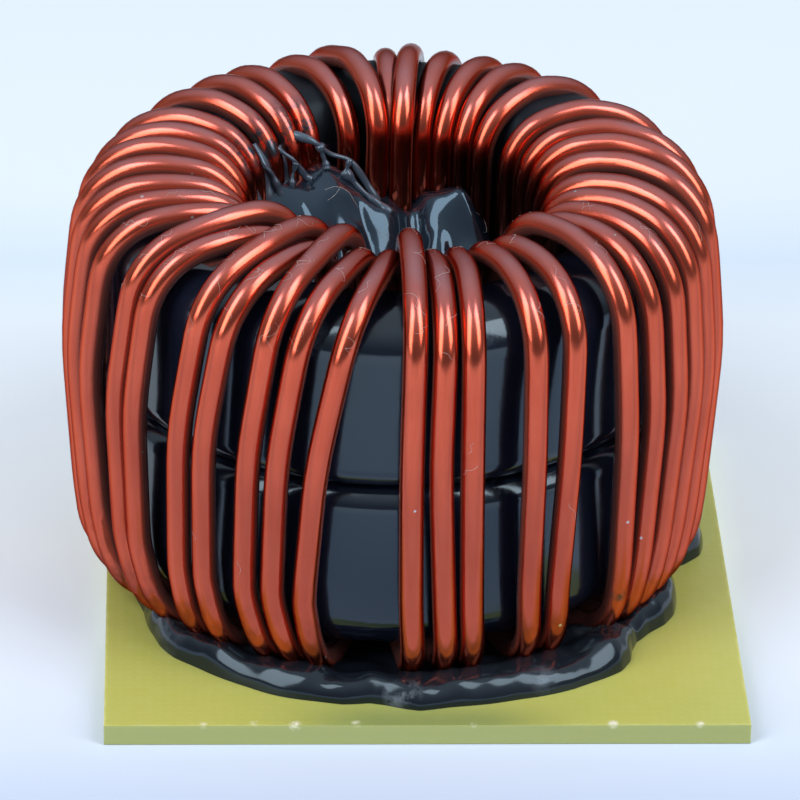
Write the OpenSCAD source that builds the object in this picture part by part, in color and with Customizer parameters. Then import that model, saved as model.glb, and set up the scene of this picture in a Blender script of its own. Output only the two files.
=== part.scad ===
// Toroidal inductor: two coated ring cores, stacked, wound with one length of thick
// enamelled copper wire and bonded with black resin to a square glass-fibre base plate.
// Millimetres, +Z up. The plate is centred on the origin and its underside is z = 0.
// The front is the -Y side. Angles round the ring run from the front towards +X.

/* [Base plate] */
// Width of the plate, left to right
plate_w = 48; // [46:1:60]
// Depth of the plate, front to back
plate_d = 48; // [48:1:60]
// Thickness of the plate
plate_t = 1.6; // [1:0.1:3.2]

/* [Ring cores] */
// Outside diameter of a coated core
core_od = 44; // [43:0.1:46]
// Thickness of a coated core's wall, from its outside to its bore
core_wall = 8.2; // [7.8:0.1:9]
// Height of one coated core
core_h = 13.9; // [9:0.1:20]
// Radius on the edges that the wire bends over
core_edge = 3.2; // [2.4:0.1:3.6]
// Radius on the edges at the seam between the cores
seam_edge = 1.8; // [1:0.1:2.4]
// How far the ring's axis sits to the right of the plate's centre
ring_x = -2.1; // [-4:0.1:2]
// How far the ring's axis sits behind the plate's centre
ring_y = 3.8; // [0:0.1:5]

/* [Winding] */
// Wire diameter over its enamel
wire_d = 1.6; // [1.1:0.05:1.65]
// Bend radius of the wire's centre line over the upper outside edge
head_bend = 5.4; // [4.4:0.1:5.6]
// Bend radius of the wire's centre line at the bore's edges
tip_bend = 4.2; // [3.4:0.1:4.6]
// How far the legs bow out between their bends
leg_bow = 1.2; // [0.8:0.1:1.6]
// How far the turns arch up on their way across the top
top_arch = 0.6; // [0.2:0.1:1]
// How much further the turns at the back arch up
back_arch = 0.6; // [0:0.1:1]
// Rise of the turns that cross over their neighbours into the bore
over_rise = 1.5; // [1.2:0.1:1.8]
// How far those turns stand off the others inside the bore
over_inset = 1.4; // [1.2:0.1:1.6]
// How far the loose turns in front and at the sides stand off the bore's wall
bore_slack = 1.2; // [0:0.1:1.4]

/* [Resin] */
// Thickness of the resin between the plate and the wire
pad_t = 0.3; // [0.3:0.1:1.5]
// Height of the bead round the feet of the winding
bead_h = 2; // [1.5:0.1:3.5]
// How far the bead spreads past the winding
bead_spread = 1.1; // [0.5:0.1:2]
// Depth of the resin's surface below the top of the upper core
fill_drop = 7; // [3:0.5:16]

/* [Fits] */
// Air left between the wire's bends and the cores
wrap_gap = 0.12; // [0.1:0.01:0.3]
// Air left between the resin and the wire
resin_gap = 0.1; // [0.05:0.01:0.2]
// Clearance of a wire end in its hole, on the diameter
lead_fit = 0.4; // [0.2:0.05:0.6]
// How far a wire end stops short of the plate's underside
lead_short = 0.1; // [0:0.05:0.4]

/* [Hidden] */
$fn = 96;

// The turns as they were wound by hand, in degrees round the ring. A leg stands outside the
// cores: its foot below, its ankle and its knee on the way up, its head above. Its tip is
// where the turn drops into the bore, and under where it comes out below. Some turns ride
// over their neighbours in the bore. The lists start and end at the gap at the back, on the
// right.
turn_foot = [
    134, 148, 156, 166, 174, 180.5, 192.5, 203, 214, 221.5, 232, 246, 255,
    264, 273, 283, 291, 298, 306.5, 311.5, 319.5, 326, 335, 340.5, 345, 363,
    369, 374, 385, 390.5, 404.5, 409, 413.5, 418, 424.5, 434.5, 445, 456, 471
];
turn_ankle = [
    134, 148, 156, 166, 174, 180.5, 193, 203, 214, 221.5, 231.5, 245, 253,
    259.5, 268, 276, 283, 290.5, 300.5, 305.5, 316.5, 322.5, 331, 336.5, 342.5, 362,
    368, 373, 384, 390, 405, 411, 417.5, 423.5, 430.5, 440.5, 450.5, 460, 473.5
];
turn_knee = [
    134, 148, 156, 166, 174, 180.5, 194, 203, 214, 221.5, 231.5, 244, 251.5,
    258, 266, 274, 281, 289.5, 301, 306.5, 318, 323.5, 332.5, 338, 345, 361.5,
    366.5, 372, 383.5, 390.5, 403.5, 411, 418.5, 425.5, 433, 443, 453, 462, 475
];
turn_head = [
    136, 149, 157, 166.5, 174.5, 180.5, 195, 203, 213.5, 221.5, 231.5, 243.5, 251.5,
    258, 267, 275.5, 283, 291.5, 303.5, 308.5, 321.5, 327.5, 336, 342, 350.5, 362,
    367.5, 372.5, 384.5, 393, 404, 411.5, 419.5, 427, 434.5, 445, 455, 464, 477
];
turn_tip = [
    146, 154, 161.5, 169, 175.5, 179.75, 184, 193.5, 209, 217, 227, 239, 247,
    257, 268, 281, 291, 300, 313, 318, 329, 334, 342, 350, 358.5, 363,
    370, 378.5, 387, 396, 410, 418.5, 427, 437, 448, 464, 475, 483, 493
];
turn_under = [
    146, 154, 161.5, 169, 175.5, 182.5, 189.5, 198.5, 209, 217, 227, 239, 247,
    257, 268, 281, 291, 300, 308.5, 317, 325, 333.5, 341.5, 350, 358.5, 367,
    375.5, 384, 392.5, 401, 410.5, 419, 428, 437, 448, 464, 475, 483, 493
];
turn_over = [
    0, 0, 0, 0, 1, 0, 1, 0, 0, 0, 0, 0, 0,
    0, 0, 0, 0, 0, 1, 0, 1, 0, 1, 0, 0, 1,
    0, 0, 0, 0, 0.5, 0, 0, 0, 0, 0, 0, 0, 0
];
// The last wire end goes down here, and the first one at the first foot.
end_foot = 484;
turns = len(turn_foot);

wire_r = wire_d / 2;
core_or = core_od / 2;
core_ir = core_or - core_wall;

// A wide bend meets a tighter core edge at its middle, so the wire stands off the two faces.
half_way = 1 - sqrt(1 / 2);
head_stand = half_way * max(0, head_bend - wire_r - core_edge) + wrap_gap;
tip_stand = half_way * max(0, tip_bend - wire_r - core_edge) + wrap_gap;
leg_r = core_or + head_stand + wire_r;
bore_r = core_ir - tip_stand - wire_r;

// Levels: plate, resin pad, crossing wires, two cores, crossing wires.
pad_z = plate_t + pad_t;
cross_z = pad_z + wire_r;
core_z = cross_z + wire_r + head_stand;
seam_z = core_z + core_h;
core_top = seam_z + core_h;
top_z = core_top + max(head_stand, tip_stand) + wire_r;

// Below, the wire bends as widely outside as it does above, tighter inside, and into the
// plate as its end comes down to it.
foot_bend = head_bend;
under_bend = core_edge;
lead_bend = cross_z - plate_t;
lead_hole_r = wire_r + lead_fit / 2;
// A leg bows out most a little above the seam, and starts to at a fifth of the way up.
ankle_z = cross_z + 0.21 * (top_z - cross_z);
knee_z = cross_z + 0.6 * (top_z - cross_z);
ankle_bow = 0.35;
foot_lean = 0.8;
crown_rise = 0.6;

// Sides of the wire's section, and steps in a bend.
wire_sides = 8;
bend_steps = 3;
// Flats, not corners, lie on the wire's diameter.
wire_corner_r = wire_r / cos(180 / wire_sides);

// Grid of the resin's surfaces.
resin_steps = 72;
bead_rings = 10;
fill_rings = 6;
pad_ir = core_ir + 1;
pad_flat = 3;
pad_or = core_or - 3;
edge_margin = 0.5;
film_t = 0.15;
bead_width = 2.4;
fill_z = core_top - fill_drop;

function unit(v) = v / norm(v);
function at(r, turn, z) = [ring_x + r * sin(turn), ring_y - r * cos(turn), z];
function wave(turn, count, shift) = sin(count * turn + shift);
function hump(turn, middle, width) = exp(-pow((turn - middle) / width, 2));

// The wire's route
function slack(turn) = bore_slack * (1 + min(0, cos(turn)));
function inner_r(i) = bore_r - slack(turn_tip[i]) - over_inset * turn_over[i];
function crown_at(i) = (turn_head[i] + turn_tip[i]) / 2;
function crown_z(i) =
    top_z + top_arch + back_arch * max(0, -cos(crown_at(i))) + crown_rise * over_rise * turn_over[i];

// The corners of a turn, each with its bend radius. Those with none are so slight that they
// need no bend.
function turn_corners(i) = [
    if (i > 0) [at(leg_r, turn_foot[i], cross_z), foot_bend],
    [at(leg_r + ankle_bow * leg_bow, turn_ankle[i], ankle_z), 0],
    [at(leg_r + leg_bow, turn_knee[i], knee_z), 0],
    [at(leg_r, turn_head[i], top_z), head_bend],
    [at((leg_r + inner_r(i)) / 2, crown_at(i), crown_z(i)), 0],
    [at(inner_r(i), turn_tip[i], top_z + over_rise * turn_over[i]), tip_bend],
    [at(inner_r(i), turn_under[i], cross_z), under_bend]
];
route = [
    [at(leg_r, turn_foot[0], lead_short), 0],
    for (i = [0 : turns - 1]) each turn_corners(i),
    [at(leg_r, end_foot, cross_z), lead_bend],
    [at(leg_r, end_foot, lead_short), 0]
];
last = len(route) - 1;

// A corner rounded off between its neighbours, as points with their directions.
function bend(a, b, c, r) =
    let (
        u = unit(b - a),
        v = unit(c - b),
        angle = acos(u * v),
        across = unit(v - u * cos(angle)),
        start = b - u * r * tan(angle / 2)
    )
    r == 0 ? [[b, unit(u + v)]] : [
        for (k = [0 : bend_steps])
            let (t = angle * k / bend_steps)
            [start + r * (u * sin(t) + across * (1 - cos(t))), u * cos(t) + across * sin(t)]
    ];

stations = [
    [route[0][0], unit(route[1][0] - route[0][0])],
    for (i = [1 : last - 1]) each bend(route[i - 1][0], route[i][0], route[i + 1][0], route[i][1]),
    [route[last][0], unit(route[last][0] - route[last - 1][0])]
];

// The wire's section at a station, with one pair of flats facing round the ring.
function section(station) =
    let (
        p = station[0],
        along = station[1],
        turn = atan2(p[0] - ring_x, ring_y - p[1]),
        round_ring = [cos(turn), sin(turn), 0],
        side = unit(round_ring - along * (round_ring * along)),
        out = cross(along, side)
    )
    [
        for (k = [0 : wire_sides - 1])
            let (t = (k + 0.5) * 360 / wire_sides)
            p + wire_corner_r * (side * cos(t) + out * sin(t))
    ];

// Where the plate's edge lies, seen from the ring's axis.
function edge_r(turn) =
    let (
        dx = sin(turn),
        dy = -cos(turn),
        reach_x = dx > 0 ? plate_w / 2 - ring_x : plate_w / 2 + ring_x,
        reach_y = dy > 0 ? plate_d / 2 - ring_y : plate_d / 2 + ring_y
    )
    min(reach_x / max(abs(dx), 0.001), reach_y / max(abs(dy), 0.001)) - edge_margin;

// The bead's outline: full in front, a thin pad behind, with the waves of a hand-laid bead.
function front(turn) = min(1, max(0, (cos(turn) - 0.15) / 0.25));
function bead_wave(turn) =
    0.3 * wave(turn, 3, 40) + 0.2 * wave(turn, 7, 10) + 0.12 * wave(turn, 13, 0) + 0.8 * hump(turn, 38, 14);
function bead_r(turn) =
    let (full = leg_r + wire_r + bead_spread + bead_wave(turn))
    min(edge_r(turn), pad_or + (full - pad_or) * front(turn));
function bead_top(turn) = bead_h + 0.3 * wave(turn, 5, 20) + 0.15 * wave(turn, 11, 70);

// The underside of the winding's feet, as a surface of revolution. Legs that lean round the
// ring rise less than upright ones.
function under_wire(r) =
    let (
        c = leg_r - foot_bend,
        reach = foot_bend + wire_r,
        rise = reach - sqrt(max(0, pow(reach, 2) - pow(r - c, 2)))
    )
    r <= c ? pad_z : pad_z + foot_lean * rise;
function bead_z(r, turn) =
    let (
        in = min(1, (bead_r(turn) - r) / bead_width),
        dome = plate_t + film_t + (bead_top(turn) - film_t) * sqrt(in * (2 - in))
    )
    r > leg_r + wire_r ? dome : min(dome, under_wire(r) - (r > pad_ir + pad_flat ? resin_gap : 0));

// The fill in the bore follows the wires. It is nearly level, and climbs them at the back
// on the left.
function apart(a, b) = abs((a - b + 540) % 360 - 180);
function over_near(turn) = max([
    for (i = [0 : turns - 1])
        turn_over[i] * min(1, max(0, (18 - apart((turn_tip[i] + turn_under[i]) / 2, turn)) / 6))
]);
function fill_r(turn) =
    bore_r - slack(turn) - over_inset * over_near(turn) - wire_corner_r - resin_gap;
function fill_top(share, turn) =
    fill_z + pow(share, 2) * (0.9 + 2.4 * hump(turn, 232, 40) + 0.35 * wave(turn, 4, 30))
    + 0.25 * share * wave(turn, 2, 100);

// A closed skin over rows of points that run round the ring or round the wire.
function ring_faces(rows, steps) = [
    for (j = [0 : rows - 2])
        for (k = [0 : steps - 1])
            let (
                a = j * steps + k,
                b = j * steps + (k + 1) % steps,
                c = a + steps,
                d = b + steps
            )
            each [[a, c, d], [a, d, b]]
];
function turn_of(k) = 180 - k * 360 / resin_steps;

module base_plate()
    color("#b0ae5c")
    difference() {
        translate([-plate_w / 2, -plate_d / 2, 0]) cube([plate_w, plate_d, plate_t]);
        for (turn = [turn_foot[0], end_foot])
            translate(at(leg_r, turn, -1)) cylinder(r = lead_hole_r, h = plate_t + 2);
    }

// A ring with its own edge radius below and above.
module ring_core(low, high)
    rotate_extrude()
    union() {
        translate([core_ir, low])
            square([core_wall, core_h - low - high]);
        translate([core_ir + low, 0])
            square([core_wall - 2 * low, low]);
        translate([core_ir + high, core_h - high])
            square([core_wall - 2 * high, high]);
        for (r = [core_ir + low, core_or - low])
            translate([r, low]) circle(low);
        for (r = [core_ir + high, core_or - high])
            translate([r, core_h - high]) circle(high);
    }

module lower_core()
    color("#15171c")
    translate([ring_x, ring_y, core_z]) ring_core(core_edge, seam_edge);

module upper_core()
    color("#1a1c22")
    translate([ring_x, ring_y, seam_z]) ring_core(seam_edge, core_edge);

module winding() {
    points = [for (s = stations) each section(s)];
    count = len(stations);
    skin = ring_faces(count, wire_sides);
    first_end = [for (k = [0 : wire_sides - 1]) k];
    last_end = [for (k = [wire_sides - 1 : -1 : 0]) (count - 1) * wire_sides + k];
    color("#b5573f")
        polyhedron(points, concat(skin, [first_end, last_end]), convexity = 10);
}

module base_resin() {
    // Rows on top: the flat pad that carries the wire, then the bead, closer towards its edge.
    function row_r(j, turn) =
        let (
            flat = pad_ir + pad_flat,
            foot = min(leg_r - foot_bend, (flat + bead_r(turn)) / 2),
            share = 1 - pow(1 - (j - 2) / (bead_rings - 3), 1.6)
        )
        j == 0 ? pad_ir : j == 1 ? flat : foot + (bead_r(turn) - foot) * share;
    top = [
        for (j = [0 : bead_rings - 1])
            for (k = [0 : resin_steps - 1])
                let (
                    turn = turn_of(k),
                    r = row_r(j, turn)
                )
                at(r, turn, bead_z(r, turn))
    ];
    under = [
        for (j = [bead_rings - 1, 0])
            for (k = [0 : resin_steps - 1])
                let (turn = turn_of(k))
                at(j == 0 ? pad_ir : bead_r(turn), turn, plate_t)
    ];
    rows = bead_rings + 2;
    skin = ring_faces(rows + 1, resin_steps);
    total = rows * resin_steps;
    color("#22262b")
        polyhedron(concat(top, under), [for (f = skin) [for (n = f) n % total]], convexity = 6);
}

module bore_resin() {
    top = [
        for (j = [1 : fill_rings])
            for (k = [0 : resin_steps - 1])
                let (share = j / fill_rings)
                at(fill_r(turn_of(k)) * share, turn_of(k), fill_top(share, turn_of(k)))
    ];
    foot = [for (k = [0 : resin_steps - 1]) at(fill_r(turn_of(k)), turn_of(k), plate_t)];
    points = concat(top, foot, [at(0, 0, fill_top(0, 0)), at(0, 0, plate_t)]);
    rows = fill_rings + 1;
    crown = rows * resin_steps;
    cap = [for (k = [0 : resin_steps - 1]) [crown, k, (k + 1) % resin_steps]];
    base = (rows - 1) * resin_steps;
    bottom = [for (k = [0 : resin_steps - 1]) [crown + 1, base + (k + 1) % resin_steps, base + k]];
    color("#1e2227")
        polyhedron(points, concat(ring_faces(rows, resin_steps), cap, bottom), convexity = 4);
}

base_plate();
lower_core();
upper_core();
winding();
base_resin();
bore_resin();
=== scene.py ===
"""Looks of the toroidal inductor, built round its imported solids. Sizes in mm until a mesh is made."""

import math

import bpy
import numpy as np
from mathutils import Matrix, Vector, kdtree
from mathutils.noise import noise as noise3

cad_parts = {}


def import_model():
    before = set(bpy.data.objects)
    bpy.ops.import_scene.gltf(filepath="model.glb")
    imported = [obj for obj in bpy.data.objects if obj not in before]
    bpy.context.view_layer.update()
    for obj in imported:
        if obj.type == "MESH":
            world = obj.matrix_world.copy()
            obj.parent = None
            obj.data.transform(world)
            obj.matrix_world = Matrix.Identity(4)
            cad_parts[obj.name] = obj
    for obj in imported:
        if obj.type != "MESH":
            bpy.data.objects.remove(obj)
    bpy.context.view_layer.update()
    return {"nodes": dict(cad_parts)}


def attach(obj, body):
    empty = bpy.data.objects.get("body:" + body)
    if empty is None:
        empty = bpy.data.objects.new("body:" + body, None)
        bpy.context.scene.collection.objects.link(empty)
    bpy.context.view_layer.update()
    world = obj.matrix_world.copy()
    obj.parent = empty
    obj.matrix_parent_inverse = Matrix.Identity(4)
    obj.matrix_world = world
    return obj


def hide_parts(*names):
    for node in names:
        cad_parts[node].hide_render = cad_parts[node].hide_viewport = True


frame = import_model()
nodes = frame["nodes"]
rng = np.random.default_rng(7)
scene = bpy.context.scene
MM = 0.001

# Sizes of the solids that the pieces here follow
PLATE_HALF, PLATE_T = 24.0, 1.6
CORE_OR, CORE_IR, CORE_H, CORE_EDGE = 22.0, 13.8, 13.9, 3.2
RING_X, RING_Y = -2.1, 3.8
WIRE_R = 0.8
HEAD_BEND, TIP_BEND = 5.4, 4.2
LEG_BOW, ANKLE_BOW, TOP_ARCH, BACK_ARCH = 1.2, 0.35, 0.6, 0.6
OVER_RISE, CROWN_RISE, OVER_INSET, BORE_SLACK = 1.5, 0.6, 1.4, 1.2
PAD_T, WRAP_GAP, LEAD_SHORT = 0.3, 0.12, 0.1
ANKLE_SHARE, KNEE_SHARE = 0.21, 0.6
HALF_WAY = 1 - math.sqrt(0.5)
HEAD_STAND = HALF_WAY * (HEAD_BEND - WIRE_R - CORE_EDGE) + WRAP_GAP
TIP_STAND = HALF_WAY * (TIP_BEND - WIRE_R - CORE_EDGE) + WRAP_GAP
LEG_R = CORE_OR + HEAD_STAND + WIRE_R
BORE_R = CORE_IR - TIP_STAND - WIRE_R
PAD_Z = PLATE_T + PAD_T
CROSS_Z = PAD_Z + WIRE_R
CORE_Z = CROSS_Z + WIRE_R + HEAD_STAND
CORE_TOP = CORE_Z + 2 * CORE_H
TOP_Z = CORE_TOP + HEAD_STAND + WIRE_R
ANKLE_Z = CROSS_Z + ANKLE_SHARE * (TOP_Z - CROSS_Z)
KNEE_Z = CROSS_Z + KNEE_SHARE * (TOP_Z - CROSS_Z)

# Bends that differ from the solid's: tighter at the feet, because the photograph's legs are straight nearly
# down to the bead, and soft at the slight corners that the solid leaves without a bend
FOOT_BEND, ANKLE_BEND, KNEE_BEND = 4.0, 5.0, 30.0
# Radius of the wire as the photograph shows it, and where its turns press together
WIRE_FULL, WIRE_TIGHT = 0.93, 0.81
# How deep the resin's pieces reach into the plate
SUNK = 0.05

# The turns, in degrees round the ring from the front towards +X
FOOT = [
    134, 148, 156, 166, 174, 180.5, 192.5, 203, 214, 221.5, 232, 246, 255,
    264, 273, 283, 291, 298, 306.5, 311.5, 319.5, 326, 335, 340.5, 345, 363,
    369, 374, 385, 390.5, 404.5, 409, 413.5, 418, 424.5, 434.5, 445, 456, 471,
]
ANKLE = [
    134, 148, 156, 166, 174, 180.5, 193, 203, 214, 221.5, 231.5, 245, 253,
    259.5, 268, 276, 283, 290.5, 300.5, 305.5, 316.5, 322.5, 331, 336.5, 342.5, 362,
    368, 373, 384, 390, 405, 411, 417.5, 423.5, 430.5, 440.5, 450.5, 460, 473.5,
]
KNEE = [
    134, 148, 156, 166, 174, 180.5, 194, 203, 214, 221.5, 231.5, 244, 251.5,
    258, 266, 274, 281, 289.5, 301, 306.5, 318, 323.5, 332.5, 338, 345, 361.5,
    366.5, 372, 383.5, 390.5, 403.5, 411, 418.5, 425.5, 433, 443, 453, 462, 475,
]
HEAD = [
    136, 149, 157, 166.5, 174.5, 180.5, 195, 203, 213.5, 221.5, 231.5, 243.5, 251.5,
    258, 267, 275.5, 283, 291.5, 303.5, 308.5, 321.5, 327.5, 336, 342, 350.5, 362,
    367.5, 372.5, 384.5, 393, 404, 411.5, 419.5, 427, 434.5, 445, 455, 464, 477,
]
TIP = [
    146, 154, 161.5, 169, 175.5, 179.75, 184, 193.5, 209, 217, 227, 239, 247,
    257, 268, 281, 291, 300, 313, 318, 329, 334, 342, 350, 358.5, 363,
    370, 378.5, 387, 396, 410, 418.5, 427, 437, 448, 464, 475, 483, 493,
]
UNDER = [
    146, 154, 161.5, 169, 175.5, 182.5, 189.5, 198.5, 209, 217, 227, 239, 247,
    257, 268, 281, 291, 300, 308.5, 317, 325, 333.5, 341.5, 350, 358.5, 367,
    375.5, 384, 392.5, 401, 410.5, 419, 428, 437, 448, 464, 475, 483, 493,
]
OVER = [
    0, 0, 0, 0, 1, 0, 1, 0, 0, 0, 0, 0, 0,
    0, 0, 0, 0, 0, 1, 0, 1, 0, 1, 0, 0, 1,
    0, 0, 0, 0, 0.5, 0, 0, 0, 0, 0, 0, 0, 0,
]
END_FOOT = 484


def sind(a):
    return np.sin(np.radians(a))


def cosd(a):
    return np.cos(np.radians(a))


def at(r, turn, z):
    """A point at a radius and an angle round the ring."""
    r, turn, z = np.broadcast_arrays(np.asarray(r, float), np.asarray(turn, float), np.asarray(z, float))
    return np.stack([RING_X + r * sind(turn), RING_Y - r * cosd(turn), z], -1)


def flat_points(x, y):
    return np.stack([x, y, np.zeros_like(x)], -1)


def unit(v):
    return v / np.linalg.norm(v, axis=-1, keepdims=True)


def smooth(e0, e1, x):
    t = np.clip((np.asarray(x, float) - e0) / (e1 - e0), 0, 1)
    return t * t * (3 - 2 * t)


def apart(a, b):
    """Degrees between two directions round the ring, with their sign."""
    return (np.asarray(a, float) - b + 540) % 360 - 180


def hump(turn, middle, width):
    return np.exp(-((apart(turn, middle) / width) ** 2))


def lumps(points, size, seed=0.0):
    """Smooth hand-made unevenness between about -1 and 1 at each point."""
    rows = points.reshape(-1, 3)
    values = [noise3(Vector((x / size + seed, y / size - seed, z / size))) for x, y, z in rows]
    return np.array(values).reshape(points.shape[:-1])


# Paths
def lengths(points):
    """Length along a path at each of its points."""
    return np.concatenate([[0], np.cumsum(np.linalg.norm(np.diff(points, axis=0), axis=1))])


def along_at(t, s, points):
    """Places at t on a path whose own points lie at s."""
    return np.stack([np.interp(t, s, points[:, k]) for k in range(3)], -1)


def resample(points, step):
    points = np.asarray(points, float)
    s = lengths(points)
    n = max(2, int(round(s[-1] / step)) + 1)
    return along_at(np.linspace(0, s[-1], n), s, points)


def soften(points, sigma):
    """A path smoothed along its length, its ends kept."""
    reach = int(3 * sigma)
    weight = np.exp(-0.5 * (np.arange(-reach, reach + 1) / sigma) ** 2)
    weight /= weight.sum()
    padded = np.pad(points, ((reach, reach), (0, 0)), mode="reflect", reflect_type="odd")
    return np.stack([np.convolve(padded[:, k], weight, mode="valid") for k in range(3)], 1)


def square_to(v, along):
    """What is left of v at right angles to a direction."""
    return unit(v - along * np.sum(v * along, -1, keepdims=True))


# Meshes
def mesh_object(name, verts, faces, material, uv=None):
    """A smooth-shaded mesh from points in millimetres, riding on the part."""
    mesh = bpy.data.meshes.new(name)
    mesh.from_pydata((np.asarray(verts) * MM).tolist(), [], [tuple(int(i) for i in f) for f in faces])
    mesh.polygons.foreach_set("use_smooth", [True] * len(mesh.polygons))
    if uv is not None:
        layer = mesh.uv_layers.new(name="UVMap")
        index = np.zeros(len(mesh.loops), np.int32)
        mesh.loops.foreach_get("vertex_index", index)
        layer.data.foreach_set("uv", np.asarray(uv, np.float32)[index].ravel())
    mesh.update()
    obj = bpy.data.objects.new(name, mesh)
    scene.collection.objects.link(obj)
    mesh.materials.append(material)
    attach(obj, "root")
    return obj


def ring_quads(rows, cols, wrap=True):
    """Quads between rows of points, each row closed on itself where it wraps."""
    out = []
    last = cols if wrap else cols - 1
    for j in range(rows - 1):
        for k in range(last):
            a, b = j * cols + k, j * cols + (k + 1) % cols
            out.append((a, b, b + cols, a + cols))
    return out


def tube_faces(n, sides, base=0):
    """Faces of a tube with closed ends, its points numbered from the base."""
    faces = ring_quads(n, sides)
    faces.append(tuple(range(sides - 1, -1, -1)))
    faces.append(tuple(range((n - 1) * sides, n * sides)))
    return [tuple(v + base for v in f) for f in faces]


def rings(points, along, side, radius, turn):
    """A ring of points round each point of a path."""
    out = np.cross(along, side)
    cos, sin = np.cos(turn)[None, :, None], np.sin(turn)[None, :, None]
    return points[:, None] + radius[:, None, None] * (side[:, None] * cos + out[:, None] * sin)


def carried_side(along):
    """A side direction at each point of a path, carried along it without twist."""
    side = np.empty_like(along)
    steep = abs(along[0, 2]) > 0.95
    side[0] = square_to(np.array([1.0, 0.0, 0.0] if steep else [0.0, 0.0, 1.0]), along[0])
    for i in range(1, len(along)):
        side[i] = square_to(side[i - 1], along[i])
    return side


def tube(name, points, radius, sides, material, side_hint=None):
    """A closed tube along a path, with the length along it and the way round it as UVs."""
    n = len(points)
    along = unit(np.gradient(points, axis=0))
    side = carried_side(along) if side_hint is None else square_to(side_hint, along)
    turn = (np.arange(sides) + sides / 4) * 2 * np.pi / sides
    verts = rings(points, along, side, radius, turn)
    uv = np.stack([np.repeat(lengths(points), sides), np.tile(np.arange(sides) / sides, n)], 1)
    return mesh_object(name, verts.reshape(-1, 3), tube_faces(n, sides), material, uv)


# Shader nodes
def new_material(name):
    mat = bpy.data.materials.new(name)
    mat.use_nodes = True
    tree = mat.node_tree
    return mat, tree, tree.nodes["Principled BSDF"]


def add(tree, kind, values=None, links=None, **props):
    """A node with its settings, its constant inputs and its links."""
    n = tree.nodes.new("ShaderNode" + kind)
    for k, v in props.items():
        setattr(n, k, v)
    for k, v in (values or {}).items():
        n.inputs[k].default_value = v
    for k, v in (links or {}).items():
        tree.links.new(v, n.inputs[k])
    return n


def ramp(tree, source, stops):
    n = tree.nodes.new("ShaderNodeValToRGB")
    el = n.color_ramp.elements
    while len(el) < len(stops):
        el.new(0.5)
    for e, (place, colour) in zip(el, stops):
        e.position = place
        e.color = (*colour, 1)
    tree.links.new(source, n.inputs["Fac"])
    return n.outputs["Color"]


def tone(tree, source, low, high, least, most):
    """A grey that goes from least to most as the source goes from low to high."""
    return ramp(tree, source, [(low, (least,) * 3), (high, (most,) * 3)])


def mix(tree, factor, a, b):
    """Colour mix; each of a and b is a socket or a colour, factor a socket or a number."""
    n = tree.nodes.new("ShaderNodeMix")
    n.data_type = "RGBA"
    for key, kind, v in (("Factor", "VALUE", factor), ("A", "RGBA", a), ("B", "RGBA", b)):
        socket = [s for s in n.inputs if s.name == key and s.type == kind][0]
        if hasattr(v, "is_linked"):
            tree.links.new(v, socket)
        else:
            socket.default_value = v if key == "Factor" else (*v, 1)
    return [s for s in n.outputs if s.type == "RGBA"][0]


def math_node(tree, op, a, b=None, clamp=False):
    n = tree.nodes.new("ShaderNodeMath")
    n.operation = op
    n.use_clamp = clamp
    for i, v in enumerate((a, b)):
        if v is None:
            continue
        if hasattr(v, "is_linked"):
            tree.links.new(v, n.inputs[i])
        else:
            n.inputs[i].default_value = v
    return n.outputs[0]


def product(tree, *factors):
    out = factors[0]
    for factor in factors[1:]:
        out = math_node(tree, "MULTIPLY", out, factor)
    return out


def coordinate(tree, kind):
    return tree.nodes.new("ShaderNodeTexCoord").outputs[kind]


def axes(tree, vector):
    split = add(tree, "SeparateXYZ", links={"Vector": vector})
    return [split.outputs[k] for k in "XYZ"]


def fade(tree, value, start, end, **props):
    """Nothing up to the start, one from the end on."""
    limits = {"From Min": start, "From Max": end}
    return add(tree, "MapRange", limits, {"Value": value}, **props).outputs["Result"]


def distance(tree, vector, place):
    """How far a point lies from a place in millimetres."""
    place = tuple(v * MM for v in place)
    return add(tree, "VectorMath", {1: place}, {0: vector}, operation="DISTANCE").outputs["Value"]


def noise(tree, vector, scale, detail=3.0, rough=0.5):
    values = {"Scale": scale, "Detail": detail, "Roughness": rough}
    return add(tree, "TexNoise", values, {"Vector": vector}).outputs["Fac"]


def bump(tree, height, strength, depth):
    """A bumpy normal, with the depth in millimetres."""
    values = {"Strength": strength, "Distance": depth * MM}
    return add(tree, "Bump", values, {"Height": height}).outputs["Normal"]


def specks(tree, vector, scale, size, share):
    """Scattered dots: one small disc in some of the cells."""
    v = add(tree, "TexVoronoi", {"Scale": scale, "Randomness": 1.0}, {"Vector": vector})
    cell = add(tree, "SeparateColor", links={"Color": v.outputs["Color"]}).outputs[0]
    dot = math_node(tree, "LESS_THAN", v.outputs["Distance"], size)
    return product(tree, dot, math_node(tree, "LESS_THAN", cell, share))


def spot(tree, vector, place, size, share):
    """A ragged soft patch round a place in millimetres: full at its middle, nothing at its rim."""
    near = fade(tree, distance(tree, vector, place), size * MM, 0.0)
    ragged = tone(tree, noise(tree, vector, 900.0, 4.0, 0.65), 0.42, 0.6, 0.0, 1.0)
    return math_node(tree, "MULTIPLY", product(tree, near, ragged), share, clamp=True)


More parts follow.
